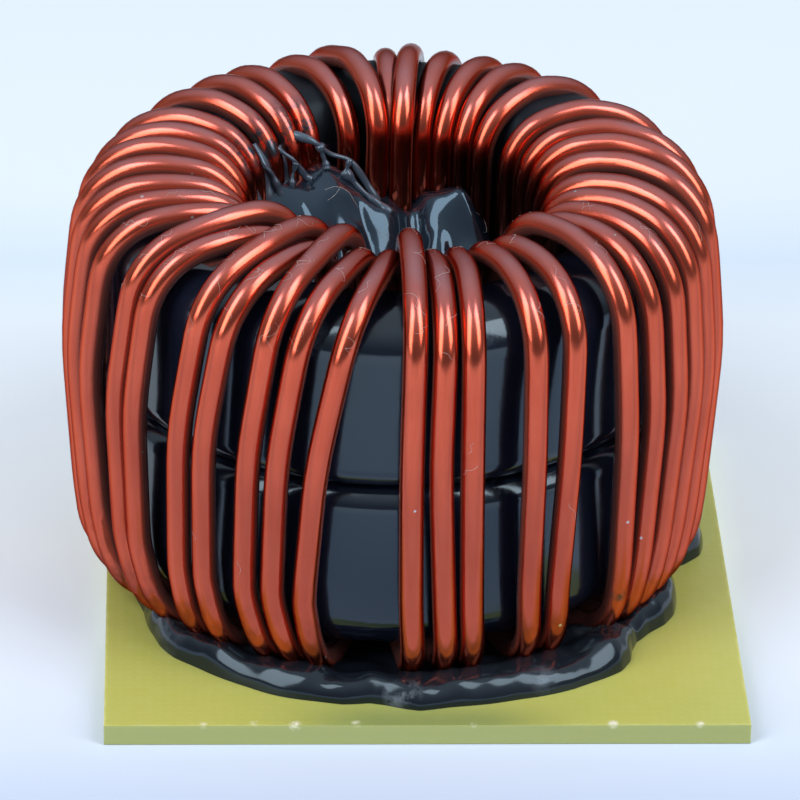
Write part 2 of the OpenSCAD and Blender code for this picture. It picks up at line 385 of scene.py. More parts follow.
# Materials
# Resin smeared on the wire, painted highlights on the core, chips in the plate and paler patches on the bead,
# each with its place and size
WET = [
    ((-13.8, 9.6, 31.6), 3.4), ((-11.8, 12.6, 31.8), 3.2), ((-9.6, 14.6, 32.4), 2.8),
    ((14.6, -13.8, 6.9), 0.7),
]
# Painted highlights on the core's shoulders and at its seam
CORE_GLINTS = [
    ((3.6, -16.2, 30.2), 1.5), ((-9.0, -16.6, 29.6), 1.3), ((5.2, -16.6, 17.9), 1.2),
    ((-8.2, -16.2, 30.4), 1.0),
]
CHIPS = [
    ((-12.82, -23.6, PLATE_T), 0.45), ((-9.86, -23.75, PLATE_T), 0.6), ((-5.27, -23.65, PLATE_T), 0.5),
    ((13.73, -23.7, PLATE_T), 0.5), ((-16.6, -23.85, PLATE_T), 0.4), ((3.4, -23.8, PLATE_T), 0.35),
    ((20.2, -23.8, PLATE_T), 0.4),
]
# Each pale patch also has its strength
PALE_PATCHES = [
    ((-2.2, -20.6, 2.2), 1.3, 0.7), ((-1.2, -21.0, 2.6), 1.1, 0.6), ((-18.6, -11.6, 3.0), 3.0, 0.16),
    ((13.4, -13.0, 3.4), 2.2, 0.2), ((8.6, -18.9, 2.6), 1.4, 0.25),
]


def bore_shade_and_feet_resin(tree, obj):
    """Where the wire is darkened: painted shade deep in the bore on the right, and dark resin smears at the
    feet.
    """
    x, y, z = axes(tree, obj)
    flat = add(tree, "CombineXYZ", links={"X": x, "Y": y}).outputs[0]
    # Painted shade: the inner runs on the right of the bore go dark below their crowns
    inside = fade(tree, distance(tree, flat, (RING_X, RING_Y, 0.0)), 13.2 * MM, 12.2 * MM)
    low = fade(tree, z, 32.5 * MM, 29.5 * MM)
    right = fade(tree, x, 0.5 * MM, 3.0 * MM)
    feet = fade(tree, z, 8.5 * MM, 4.2 * MM)
    smear = product(tree, feet, tone(tree, noise(tree, obj, 260.0, 4.0, 0.6), 0.45, 0.62, 0.0, 0.9))
    return math_node(tree, "MAXIMUM", product(tree, inside, low, right), smear)


def copper_material():
    """Copper seen through a clear reddish enamel, with draw marks along the wire, a pale film on its upper
    faces that is partly dust and partly painted sheen, and painted shade on its flanks and deep in the bore.
    """
    mat, t, p = new_material("enamelled_copper")
    uv, obj = coordinate(t, "UV"), coordinate(t, "Object")
    drawn = add(t, "Mapping", {"Scale": (0.35, 26.0, 1.0)}, {"Vector": uv}).outputs["Vector"]
    streak = noise(t, drawn, 1.0, 4.0, 0.6)
    base = ramp(t, noise(t, obj, 160.0), [(0.3, (0.56, 0.095, 0.051)), (0.7, (0.64, 0.118, 0.064))])
    red_mark, brown_stain, pink_dust_and_sheen = (0.54, 0.070, 0.028), (0.24, 0.04, 0.028), (0.51, 0.235, 0.245)
    shade_and_resin_black, wet_resin = (0.035, 0.016, 0.014), (0.055, 0.068, 0.085)
    pale_speck, grime_and_shade = (0.62, 0.5, 0.5), (0.06, 0.028, 0.026)
    base = mix(t, tone(t, streak, 0.4, 0.8, 0.0, 0.4), base, red_mark)
    base = mix(t, tone(t, noise(t, obj, 70.0, 5.0, 0.65), 0.58, 0.8, 0.0, 0.4), base, brown_stain)
    # Upper faces turn pale pink: partly dust, partly painted sheen of the bright surroundings
    _, _, up = axes(t, coordinate(t, "Normal"))
    patchy = tone(t, noise(t, obj, 240.0, 4.0, 0.6), 0.3, 0.7, 0.45, 1.0)
    base = mix(t, product(t, tone(t, up, 0.5, 0.97, 0.0, 0.95), patchy), base, pink_dust_and_sheen)
    # The copper goes dark with painted shade in the bore and with resin smears at the feet
    base = mix(t, product(t, bore_shade_and_feet_resin(t, obj), 0.85), base, shade_and_resin_black)
    for place, size in WET:
        base = mix(t, spot(t, obj, place, size, 1.7), base, wet_resin)
    base = mix(t, specks(t, obj, 800.0, 0.1, 0.05), base, pale_speck)
    # The wire's outer side lies half-way round its UVs; its flanks are darkened, partly by grime and partly
    # as painted shade between the turns
    _, way_round, _ = axes(t, uv)
    flank = math_node(t, "ABSOLUTE", math_node(t, "SUBTRACT", way_round, 0.5))
    # Painted shade and grime: the flanks go dark brown and lose their metal
    groove = tone(t, flank, 0.17, 0.25, 0.0, 0.9)
    t.links.new(mix(t, groove, base, grime_and_shade), p.inputs["Base Color"])
    t.links.new(math_node(t, "SUBTRACT", 1.0, groove), p.inputs["Metallic"])
    p.inputs["Specular Tint"].default_value = (0.42, 0.24, 0.21, 1)
    t.links.new(tone(t, streak, 0.2, 0.8, 0.16, 0.28), p.inputs["Roughness"])
    p.inputs["Coat Weight"].default_value = 0.12
    p.inputs["Coat Roughness"].default_value = 0.08
    p.inputs["Coat IOR"].default_value = 1.5
    height = mix(t, 0.35, streak, noise(t, obj, 420.0, 2.0))
    t.links.new(bump(t, height, 0.12, 0.1), p.inputs["Normal"])
    return mat


def core_material():
    """Smooth blue-black epoxy coating with a faint orange peel, painted highlights on its shoulders and seam,
    and a little dust.
    """
    mat, t, p = new_material("core_coating")
    obj = coordinate(t, "Object")
    dust, glint_blue = (0.42, 0.46, 0.5), (0.10, 0.13, 0.18)
    base = ramp(t, noise(t, obj, 90.0), [(0.3, (0.0045, 0.0055, 0.012)), (0.7, (0.0065, 0.0085, 0.018))])
    base = mix(t, specks(t, obj, 420.0, 0.05, 0.05), base, dust)
    # Painted highlights: pale blue patches where the lamps glint on the core
    for place, size in CORE_GLINTS:
        base = mix(t, spot(t, obj, place, size, 0.7), base, glint_blue)
    t.links.new(base, p.inputs["Base Color"])
    t.links.new(tone(t, noise(t, obj, 300.0, 4.0), 0.3, 0.8, 0.09, 0.2), p.inputs["Roughness"])
    p.inputs["IOR"].default_value = 1.68
    p.inputs["Specular Tint"].default_value = (0.70, 0.88, 1.0, 1)
    height = mix(t, 0.2, noise(t, obj, 260.0, 2.0), noise(t, obj, 1500.0, 3.0, 0.7))
    t.links.new(bump(t, height, 0.07, 0.4), p.inputs["Normal"])
    return mat


def resin_material(name, dark, pale, gloss, dull, specular, pale_patches=(), tint=(0.66, 0.86, 1.0)):
    """Hand-laid black resin, faintly wavy, with paler bluish patches in places."""
    mat, t, p = new_material(name)
    obj = coordinate(t, "Object")
    pale_blue, dust = (0.30, 0.35, 0.42), (0.5, 0.52, 0.52)
    base = ramp(t, noise(t, obj, 130.0, 4.0, 0.6), [(0.35, dark), (0.7, pale)])
    for place, size, share in pale_patches:
        base = mix(t, spot(t, obj, place, size, share), base, pale_blue)
    base = mix(t, specks(t, obj, 600.0, 0.08, 0.05), base, dust)
    t.links.new(base, p.inputs["Base Color"])
    t.links.new(tone(t, noise(t, obj, 200.0), 0.35, 0.75, gloss, dull), p.inputs["Roughness"])
    p.inputs["IOR"].default_value = 1.55
    p.inputs["Specular IOR Level"].default_value = specular
    p.inputs["Specular Tint"].default_value = (*tint, 1)
    t.links.new(bump(t, noise(t, obj, 380.0, 2.0), 0.06, 0.4), p.inputs["Normal"])
    return mat


def lint_material():
    """Pale fibre of dust."""
    mat, t, p = new_material("lint")
    shade = noise(t, coordinate(t, "Object"), 500.0)
    base = ramp(t, shade, [(0.3, (0.46, 0.44, 0.44)), (0.7, (0.66, 0.64, 0.64))])
    t.links.new(base, p.inputs["Base Color"])
    p.inputs["Roughness"].default_value = 0.6
    return mat


def plate_material():
    """Bare glass-fibre laminate: translucent yellow-green, a faint weave, paler chipped edges, and painted
    shade in front of the bead and on the front face.
    """
    mat, t, p = new_material("glass_fibre")
    obj = coordinate(t, "Object")
    x, y, z = axes(t, obj)
    fibre, thread = (0.56, 0.55, 0.2), (0.60, 0.60, 0.22)
    worn_edge, chip = (0.70, 0.70, 0.34), (0.82, 0.82, 0.66)
    brown_foot, shaded_green_front, sawn_and_shaded_front = (0.45, 0.30, 0.05), (0.26, 0.32, 0.10), (0.37, 0.405, 0.14)
    base = ramp(t, noise(t, obj, 38.0, 2.0), [(0.3, (0.42, 0.455, 0.098)), (0.7, (0.51, 0.52, 0.12))])
    base = mix(t, tone(t, noise(t, obj, 900.0), 0.3, 0.8, 0.0, 0.25), base, fibre)
    wave = {"Scale": 420.0, "Distortion": 1.5, "Detail": 1.0}
    warp, weft = (add(t, "TexWave", wave, {"Vector": obj}, bands_direction=d).outputs["Fac"] for d in "XY")
    weave = product(t, warp, weft)
    base = mix(t, tone(t, weave, 0.2, 0.9, 0.0, 0.10), base, thread)
    edge = math_node(t, "MAXIMUM", math_node(t, "ABSOLUTE", x), math_node(t, "ABSOLUTE", y))
    rim = fade(t, edge, (PLATE_HALF - 0.45) * MM, PLATE_HALF * MM)
    ragged = product(t, rim, noise(t, obj, 700.0, 4.0, 0.7))
    base = mix(t, tone(t, ragged, 0.25, 0.6, 0.0, 0.55), base, worn_edge)
    base = mix(t, product(t, fade(t, z, 0.4 * MM, 0.0), 0.5), base, brown_foot)
    # Painted shadow: darker and greener just in front of the bead
    near = fade(t, y, -19.5 * MM, -23.5 * MM, interpolation_type="SMOOTHSTEP")
    middle = fade(t, math_node(t, "ABSOLUTE", x), 13.0 * MM, 3.0 * MM, interpolation_type="SMOOTHSTEP")
    base = mix(t, product(t, near, middle), base, shaded_green_front)
    # The front face is darker: partly the sawn edge's own colour, partly painted shade
    _, facing_back, _ = axes(t, coordinate(t, "Normal"))
    base = mix(t, fade(t, product(t, facing_back, -1.0), 0.5, 0.9), base, sawn_and_shaded_front)
    for place, size in CHIPS:
        base = mix(t, spot(t, obj, place, size, 1.6), base, chip)
    t.links.new(base, p.inputs["Base Color"])
    p.inputs["Roughness"].default_value = 0.42
    p.inputs["Subsurface Weight"].default_value = 0.25
    p.inputs["Subsurface Radius"].default_value = (0.0012, 0.0011, 0.0004)
    p.inputs["Subsurface Scale"].default_value = 1.0
    t.links.new(bump(t, weave, 0.05, 0.1), p.inputs["Normal"])
    return mat


COPPER = copper_material()
COATING = core_material()
RESIN = resin_material("resin", (0.005, 0.007, 0.011), (0.011, 0.014, 0.020), 0.08, 0.20, 0.5, PALE_PATCHES)
POURED = resin_material(
    "poured_resin", (0.007, 0.011, 0.019), (0.014, 0.021, 0.032), 0.06, 0.16, 0.72, tint=(0.52, 0.77, 1.0)
)
# Strings and smears: the black resin drawn paler and bluer, as painted sheen
SHEEN_THREAD = resin_material("resin_thread_painted_sheen", (0.03, 0.045, 0.065), (0.08, 0.11, 0.15), 0.10, 0.22, 0.8)
# Dull black for the saddle: partly resin, partly painted shade
SHADED = resin_material("dull_resin_and_shade", (0.004, 0.005, 0.008), (0.010, 0.012, 0.017), 0.38, 0.55, 0.2)
LINT = lint_material()
BOARD = plate_material()


def dress(node, material):
    """A solid that stays as it is, with a new material."""
    mesh = nodes[node].data
    mesh.materials.clear()
    mesh.materials.append(material)


dress("base_plate", BOARD)
dress("lower_core", COATING)
dress("upper_core", COATING)


# The winding: the solid's own route, with smooth bends and a round section
def slack(turn):
    return BORE_SLACK * (1 + min(0, cosd(turn)))


def turn_corners(i):
    """Corners of one turn, each with its bend radius."""
    inner = BORE_R - slack(TIP[i]) - OVER_INSET * OVER[i]
    crown = (HEAD[i] + TIP[i]) / 2
    crown_z = TOP_Z + TOP_ARCH + BACK_ARCH * max(0, -cosd(crown)) + CROWN_RISE * OVER_RISE * OVER[i]
    return [
        (at(LEG_R, FOOT[i], CROSS_Z), FOOT_BEND),
        (at(LEG_R + ANKLE_BOW * LEG_BOW, ANKLE[i], ANKLE_Z), ANKLE_BEND),
        (at(LEG_R + LEG_BOW, KNEE[i], KNEE_Z), KNEE_BEND),
        (at(LEG_R, HEAD[i], TOP_Z), HEAD_BEND),
        (at((LEG_R + inner) / 2, crown, crown_z), 0),
        (at(inner, TIP[i], TOP_Z + OVER_RISE * OVER[i]), TIP_BEND),
        (at(inner, UNDER[i], CROSS_Z), CORE_EDGE),
    ]


def angle_between(u, v):
    return math.acos(max(-1.0, min(1.0, float(u @ v))))


def bend(a, b, c, r, steps=14):
    """Points round a corner that is rounded off between its neighbours."""
    u, v = unit(b - a), unit(c - b)
    angle = angle_between(u, v)
    if angle < 1e-4 or r == 0:
        return [b]
    across = unit(v - u * math.cos(angle))
    start = b - u * r * math.tan(angle / 2)
    t = angle * np.arange(steps + 1) / steps
    return list(start + r * (u * np.sin(t)[:, None] + across * (1 - np.cos(t))[:, None]))


def rounded(corners):
    """A fine path along corners, in steps of 0.2 mm, with soft transitions."""
    points = [corners[0][0]]
    for (a, _), (b, r), (c, _) in zip(corners, corners[1:], corners[2:]):
        points += bend(a, b, c, r)
    points.append(corners[-1][0])
    return soften(resample(points, 0.2), 4.0)


def wire_path():
    """The whole wire's route, with points where it has turned a little or run on for a while."""
    corners = [(at(LEG_R, FOOT[0], LEAD_SHORT), 0)] + turn_corners(0)[1:]
    for i in range(1, len(FOOT)):
        corners += turn_corners(i)
    corners.append((at(LEG_R, END_FOOT, CROSS_Z), CROSS_Z - PLATE_T))
    corners.append((at(LEG_R, END_FOOT, LEAD_SHORT), 0))
    fine = rounded(corners)
    along = unit(np.gradient(fine, axis=0))
    most_turned, most_steps = math.radians(4.5), 9
    keep = [0]
    for i in range(1, len(fine) - 1):
        if angle_between(along[i], along[keep[-1]]) > most_turned or i - keep[-1] >= most_steps:
            keep.append(i)
    keep.append(len(fine) - 1)
    return fine[keep]


def wire_radius(path, s):
    """The wire's radius: full where it has room, less where turns press together in the bore."""
    fine = np.arange(0, s[-1], 0.2)
    tree = kdtree.KDTree(len(fine))
    for k, point in enumerate(along_at(fine, s, path)):
        tree.insert(point, k)
    tree.balance()
    widest, same_turn = 2 * WIRE_FULL, 6
    room = []
    for point, here in zip(path, s):
        others = (d for _, k, d in tree.find_range(point, widest) if abs(fine[k] - here) > same_turn)
        room.append(min(others, default=widest))
    radius = np.interp(fine, s, np.clip(np.array(room) / 2, WIRE_TIGHT, WIRE_FULL))
    reach = 8
    for ease in (np.min, np.mean):
        padded = np.pad(radius, reach, mode="edge")
        radius = ease(np.lib.stride_tricks.sliding_window_view(padded, 2 * reach + 1), axis=1)
    return np.interp(s, fine, radius)


WIRE = wire_path()
WIRE_S = lengths(WIRE)
WIRE_THICK = wire_radius(WIRE, WIRE_S)
WIRE_TURN = np.degrees(np.arctan2(WIRE[:, 0] - RING_X, RING_Y - WIRE[:, 1]))
ROUND_RING = np.stack([cosd(WIRE_TURN), sind(WIRE_TURN), np.zeros(len(WIRE))], 1)
wire = tube("copper_wire", WIRE, WIRE_THICK, 16, COPPER, side_hint=ROUND_RING)
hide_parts("winding")


# The bead of resin round the feet of the winding, its edge seen from a point near the ring's axis
BEAD_X, BEAD_Y = -2.2, 4.6
BEAD_EDGE = [
    (-180, 20.4), (-150, 20.4), (-120, 20.6), (-95, 20.8), (-75, 21.0), (-65, 21.6), (-58, 22.3), (-52, 23.5),
    (-46.5, 24.4), (-41.5, 24.9), (-35.5, 25.1), (-28, 25.5), (-23, 25.7), (-16, 25.9), (-9, 25.9),
    (-4.6, 25.5),
    (-2, 25.7), (3.6, 26.5), (8.5, 26.4), (13.5, 26.4), (20, 26.5), (25, 26.7), (30, 26.95), (35, 26.9),
    (39.5, 26.8), (43, 26.2), (45.5, 25.3), (48.3, 24.7), (52.4, 24.7), (56.4, 25.0), (60.2, 24.8),
    (64.5, 24.3),
    (68.3, 23.7), (71, 22.6), (76, 21.8), (79, 23.4), (83, 24.4), (87, 24.7), (91, 24.4), (95, 23.2),
    (99, 22.0),
    (110, 20.8), (140, 20.4), (180, 20.4),
]
# Where its crest stands higher or lower: angle round the ring, width and rise
BEAD_RISES = [(41, 5, 0.5), (60, 4, 0.35), (49.5, 2.5, -0.5), (87, 5, 0.5)]


def bead_edge(turn):
    a = apart(turn, 0)
    angles, reaches = zip(*BEAD_EDGE)
    return np.interp(a, angles, reaches) + (0.05 * sind(17 * a + 80) + 0.04 * sind(31 * a))


def bead_crest(flat, ring_turn):
    """Height of the bead's crest over the plate."""
    crest = 1.85 + 0.34 * lumps(flat, 3.6) + 0.20 * lumps(flat, 1.6, 5.0)
    for middle, width, rise in BEAD_RISES:
        crest = crest + rise * hump(ring_turn, middle, width)
    return np.maximum(crest, 0.5)


def leg_climb(ring_r, ring_turn):
    """One where the resin wets a leg's outer side, nothing away from the legs."""
    climb = np.zeros_like(ring_r)
    for foot in FOOT:
        climb = np.maximum(climb, hump(ring_turn, foot, 2.5) * np.exp(-(((ring_r - 22.6) / 0.8) ** 2)))
    return climb


def base_bead():
    """A hand-laid bead with a thick rounded lip, lumps, and a fillet up each leg."""
    cols, rows = 640, 36
    turn = np.arange(cols) * 360 / cols
    edge = bead_edge(turn)
    inner = CORE_IR + 1.4
    share = 1 - (1 - np.linspace(0, 1, rows)) ** 2.0
    r = inner + (edge - inner)[None, :] * share[:, None]
    x, y = BEAD_X + r * sind(turn), BEAD_Y - r * cosd(turn)
    flat = flat_points(x, y)
    ring_r = np.hypot(x - RING_X, y - RING_Y)
    ring_turn = np.degrees(np.arctan2(x - RING_X, RING_Y - y))
    # A thin film where the edge stays under the wire, and a full lip where it comes out
    full = smooth(20.6, 22.8, edge)
    film = 0.25
    # The lip is about as wide as the bead stands out past the legs, seen from the ring's axis
    legs_out = 23.7
    lip = np.clip(edge + 0.1 - 0.75 * cosd(turn) - legs_out, 0.9, 2.3)
    inward = np.clip((edge - r) / lip, 0, 1)
    height = bead_crest(flat, ring_turn) * full + film * (1 - full)
    z = PLATE_T + 0.04 + height * np.sqrt(inward * (2 - inward))
    dips = 0.55 * smooth(23.3, 22.2, ring_r) + 0.3 * smooth(21.6, 20.0, ring_r)
    z = z + full * (0.4 * leg_climb(ring_r, ring_turn) - dips)
    z = np.where(ring_r < 20.5, np.minimum(z, PAD_Z + 0.8), z)
    z = z + full * inward * 0.035 * lumps(flat, 0.8, 9.0)
    top = np.stack([x, y, z], -1)[::-1]
    foot = np.full(cols, PLATE_T - SUNK)
    low = np.stack([np.stack([x[k], y[k], foot], -1) for k in (0, -1)])
    verts = np.concatenate([low, top]).reshape(-1, 3)
    faces = ring_quads(rows + 2, cols)
    last = (rows + 1) * cols
    faces += [(last + k, last + (k + 1) % cols, (k + 1) % cols, k) for k in range(cols)]
    return mesh_object("resin_bead", verts, faces, RESIN)


bead = base_bead()
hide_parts("base_resin")


# The resin in the bore: its level in front, and its lobes, each with its middle, front, bow, depth and height
FILL_Z = 22.4
LOBES = [(2.9, 10.6, 10.0, 3.5, 4.1), (-3.5, 9.2, 6.0, 3.3, 3.8), (-9.5, 6.2, 14.0, 5.0, 3.9)]
# Mounds on it: place, width, depth and height
MOUNDS = [
    (-11.6, 10.6, 4.6, 4.6, 2.9), (-6.6, 14.0, 2.6, 2.4, 2.4), (1.5, 11.2, 1.2, 1.2, 0.75),
    (4.3, 11.0, 1.1, 1.1, 0.7),
    (3.0, 12.9, 1.5, 1.5, 0.4), (-4.4, 9.6, 1.1, 1.1, 0.6), (-2.5, 10.0, 0.8, 0.8, 0.5),
    (-8.6, 9.4, 1.4, 1.4, 0.5),
]


def lobe(x, y, middle, front, bow, depth, height):
    """A lobe with a rounded front: its height where it is full, nothing in front of it."""
    t = (y - (front + (x - middle) ** 2 / bow)) / depth
    return height * (0.6 * np.clip(t, 0, 1) + 0.4 * smooth(0, 1, t))


def fill_height(x, y):
    """The poured surface: lobes with a valley between them, a climb on the left and a fold on the right."""
    z = FILL_Z + 0.15 * np.sin(0.8 * x + 1.0) + 0.12 * np.sin(1.1 * y - 0.5 * x)
    z = z + np.max([lobe(x, y, *sizes) for sizes in LOBES], axis=0)
    z = z - 1.1 * np.exp(-(((x + 0.6) / 0.9) ** 2)) * smooth(9.5, 13.0, y)
    for mound_x, mound_y, wide, deep, tall in MOUNDS:
        z = z + tall * np.exp(-(((x - mound_x) / wide) ** 2 + ((y - mound_y) / deep) ** 2))
    across = (x - 4.9) * 0.8 + (y - 12.2) * 0.6
    fold = 0.55 * np.exp(-((across / 0.7) ** 2)) - 0.35 * np.exp(-(((across - 1.3) / 0.6) ** 2))
    return z + fold * smooth(8.0, 10.5, y)


def fill_surface(x, y):
    """The poured surface with its fine unevenness."""
    flat = flat_points(x, y)
    return fill_height(x, y) + 0.26 * lumps(flat, 2.4) + 0.10 * lumps(flat, 1.1, 3.0)


def bore_fill():
    cols, rows = 240, 60
    turn = np.arange(cols) * 360 / cols
    share = np.linspace(1, 0.015, rows)
    # The edge lies among the turns, which stand further in at the sides and in front
    reach = 12.2 - 0.5 * sind(turn) ** 2 - 0.6 * smooth(-0.2, 0.6, cosd(turn))
    top = at(reach[None, :] * share[:, None], turn, 0)
    top[..., 2] = fill_surface(top[..., 0], top[..., 1])
    low = at(reach, turn, PLATE_T - SUNK)[None]
    middle = top[-1].mean(0).reshape(1, 3)
    bottom = at(0, 0, PLATE_T - SUNK).reshape(1, 3)
    verts = np.concatenate([np.concatenate([low, top]).reshape(-1, 3), middle, bottom])
    faces = ring_quads(rows + 1, cols)
    last, m = rows * cols, len(verts) - 2
    faces += [(last + k, last + (k + 1) % cols, m) for k in range(cols)]
    faces += [((k + 1) % cols, k, m + 1) for k in range(cols)]
    return mesh_object("bore_fill", verts, faces, POURED)


fill = bore_fill()
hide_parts("bore_resin")


# Resin on the core under the turns at the back, where the photograph shows black between them: partly resin,
# partly a dark dull sheet standing in as painted shade
def core_crown(r):
    """Height of the upper core's top at a radius, with its rounded edges."""
    past = np.maximum(np.maximum(r - CORE_OR, CORE_IR - r) + CORE_EDGE, 0)
    return CORE_TOP - CORE_EDGE + np.sqrt(np.maximum(0, CORE_EDGE**2 - past**2))


def saddle():
    cols, rows = 220, 26
    start, stop, taper = 88, 272, 16
    turn = np.linspace(start, stop, cols)
    share = np.linspace(0, 1, rows)
    ends = smooth(start, start + taper, turn) * smooth(stop, stop - taper, turn)
    r = (CORE_IR + 0.2) + 7.9 * share[:, None] + 0 * turn[None, :]
    core = core_crown(r)
    dome = np.minimum(1, 3.2 * np.sqrt(share * (1 - share)))[:, None]
    thick = (1.75 + 0.25 * lumps(at(r, turn, 0), 2.2)) * dome * ends * (1 + 0.35 * smooth(18.5, 21.5, r))
    top = at(r, turn, core + thick - 0.03)
    low = at(r, turn, core - 0.25)
    verts = np.concatenate([top.reshape(-1, 3), low.reshape(-1, 3)])
    n = rows * cols
    up = ring_quads(rows, cols, wrap=False)
    faces = [f[::-1] for f in up] + [tuple(v + n for v in f) for f in up]
    rim = list(range(cols)) + [j * cols + cols - 1 for j in range(1, rows)]
    rim += [(rows - 1) * cols + k for k in range(cols - 2, -1, -1)]
    rim += [j * cols for j in range(rows - 2, 0, -1)]
    faces += [(a, b, b + n, a + n) for a, b in zip(rim, rim[1:] + rim[:1])]
    piece = mesh_object("resin_saddle", verts, faces, SHADED)


saddle()


# Strings and smears of resin at the back on the left
def strand(name, points, radius, uneven=0.35):
    """A drawn-out thread through a few points, thicker where it starts and ends."""
    fine = soften(resample(points, 0.15), 3.0)
    s = np.linspace(0, 1, len(fine))
    beads = 1 + 0.18 * np.sin(9 * s + 7 * radius) + 0.12 * np.sin(23 * s + 40 * radius)
    piece = tube(name, fine, radius * (1 + uneven * np.cos(2 * np.pi * s)) * beads, 8, SHEEN_THREAD)


def on_wire(point):
    """The nearest place on the wire, a little way from its middle towards the point."""
    point = np.asarray(point, float)
    fine = resample(WIRE, 0.2)
    near = fine[np.argmin(np.linalg.norm(fine - point, axis=1))]
    return near + unit(point - near) * 0.3


def on_fill(x, y, lift=-0.1):
    return np.array([x, y, float(fill_height(np.float64(x), np.float64(y))) + lift])


# Each string's points, from the wire or another string down to the fill, and its radius
STRINGS = [
    ([on_wire((-8.9, 12.9, 33.0)), (-7.9, 13.4, 31.6), (-6.8, 13.9, 30.3), (-5.2, 14.2, 29.8),
      (-4.1, 14.3, 28.0), on_fill(-3.0, 14.0)], 0.27),
    ([on_wire((-10.6, 11.4, 32.7)), (-9.5, 12.2, 30.6), (-8.7, 12.7, 28.9), on_fill(-8.2, 12.6)], 0.25),
    ([(-7.6, 13.5, 31.3), (-7.3, 13.6, 30.2), (-6.9, 13.7, 29.2), on_fill(-7.0, 13.4)], 0.27),
    ([(-9.4, 12.2, 30.4), (-9.8, 11.9, 29.2), on_fill(-9.7, 11.7)], 0.2),
    ([(-5.6, 13.8, 28.9), (-4.3, 13.5, 27.4), on_fill(-2.9, 13.0, 0.05), on_fill(-2.0, 12.6)], 0.3),
    ([on_fill(-5.7, 13.8, -0.2), (-5.4, 13.9, 29.2), (-5.2, 14.1, 29.8)], 0.24),
    ([on_wire((-12.0, 10.2, 32.0)), (-11.3, 10.6, 30.4), on_fill(-10.6, 10.6)], 0.26),
]
for n, (points, radius) in enumerate(STRINGS):
    strand("resin_string_%d" % (n + 1), points, radius)


def valley(name, first, second, start, stop, radius):
    """Resin lying in the groove between two turns, on their way into the bore."""
    share = np.linspace(0, 1, 200)
    lines = []
    for i in (first, second):
        fine = rounded(turn_corners(i)[2:])
        lines.append(along_at(share, np.linspace(0, 1, len(fine)), fine))
    middle = (lines[0] + lines[1]) / 2
    strand(name, middle[(share > start) & (share < stop)], radius, uneven=-0.5)


# The two turns of each smear, the stretch between them that it fills, and its radius
SMEARS = [
    (11, 12, 0.42, 0.66, 0.62), (10, 11, 0.42, 0.64, 0.75), (9, 10, 0.44, 0.64, 0.6),
    (12, 13, 0.44, 0.64, 0.5), (13, 14, 0.46, 0.62, 0.45),
]
for n, sizes in enumerate(SMEARS):
    valley("resin_smear_%d" % (n + 1), *sizes)


# Lint caught on the wire and the resin
WIRE_ALONG = unit(np.gradient(WIRE, axis=0))
WIRE_SIDE = square_to(ROUND_RING, WIRE_ALONG)
WIRE_OUT = np.cross(WIRE_ALONG, WIRE_SIDE)


def skin(s, angle, lift):
    """Points on the wire's skin, by the length along it and the angle round it."""
    middle, side, out = (along_at(s, WIRE_S, v) for v in (WIRE, WIRE_SIDE, WIRE_OUT))
    radius = np.interp(s, WIRE_S, WIRE_THICK)[:, None] + lift
    return middle + radius * (unit(side) * np.cos(angle)[:, None] + unit(out) * np.sin(angle)[:, None])


def threads(name, lines, sides=5):
    """Fine closed tubes along several lines, as one piece."""
    turn = np.arange(sides) * 2 * np.pi / sides
    verts, faces = [], []
    for points, radius in lines:
        along = unit(np.gradient(points, axis=0))
        side = unit(np.cross(along, [0.31, 0.22, 0.92]))
        thick = radius * (1 - 0.5 * np.linspace(-1, 1, len(points)) ** 4)
        faces += tube_faces(len(points), sides, base=len(verts))
        verts += rings(points, along, side, thick, turn).reshape(-1, 3).tolist()
    piece = mesh_object(name, verts, faces, LINT)


def fibres(name, count, first, last, low):
    """Curled fibres lying on the outer side of some turns, all in one mesh."""
    out_of_bore = np.hypot(WIRE[:, 0] - RING_X, WIRE[:, 1] - RING_Y) > 12.5
    place = apart(WIRE_TURN, 0)
    index = np.nonzero((WIRE[:, 2] > low) & out_of_bore & (place > first) & (place < last))[0]
    t = np.linspace(-1, 1, 14)
    lines = []
    while len(lines) < count:
        k = int(rng.choice(index))
        out = np.array([sind(WIRE_TURN[k]), -cosd(WIRE_TURN[k]), 1.1])
        facing = math.atan2(float(out @ WIRE_OUT[k]), float(out @ WIRE_SIDE[k]))
        length, sweep = rng.uniform(0.2, 1.0), rng.uniform(-0.7, 0.7)
        curl, phase = rng.uniform(0.1, 0.5), rng.uniform(0, 6.28)
        s = WIRE_S[k] + length * t + 0.25 * curl * np.sin(5 * t + phase)
        angle = facing + rng.normal(0, 0.35) + sweep * t + curl * np.cos(4 * t + phase)
        lines.append((skin(s, angle, 0.006), rng.uniform(0.004, 0.009)))
    threads(name, lines)


def curl_on_fill(line):
    """A fibre lying on the poured resin, through a few places seen from above."""
    path = soften(resample([(x, y, 0.0) for x, y in line], 0.12), 2.0)
    path[:, 2] = fill_surface(path[:, 0], path[:, 1]) + 0.03
    return path, 0.012


CURLS = [
    [(-7.2, 11.6), (-6.3, 12.3), (-5.4, 12.5), (-4.6, 12.0)],
    [(-5.9, 12.5), (-6.3, 11.7), (-7.0, 11.0)],
    [(4.6, 13.2), (5.2, 13.6), (5.6, 13.0), (5.2, 12.6)],
    [(-3.0, 11.3), (-2.6, 10.8), (-2.4, 11.2)],
]
fibres("lint_front", 44, -75, 12, 29.5)
fibres("lint_legs", 22, -70, 35, 9.0)
fibres("lint_right", 14, 12, 80, 29.0)
threads("lint_bore", [curl_on_fill(line) for line in CURLS])


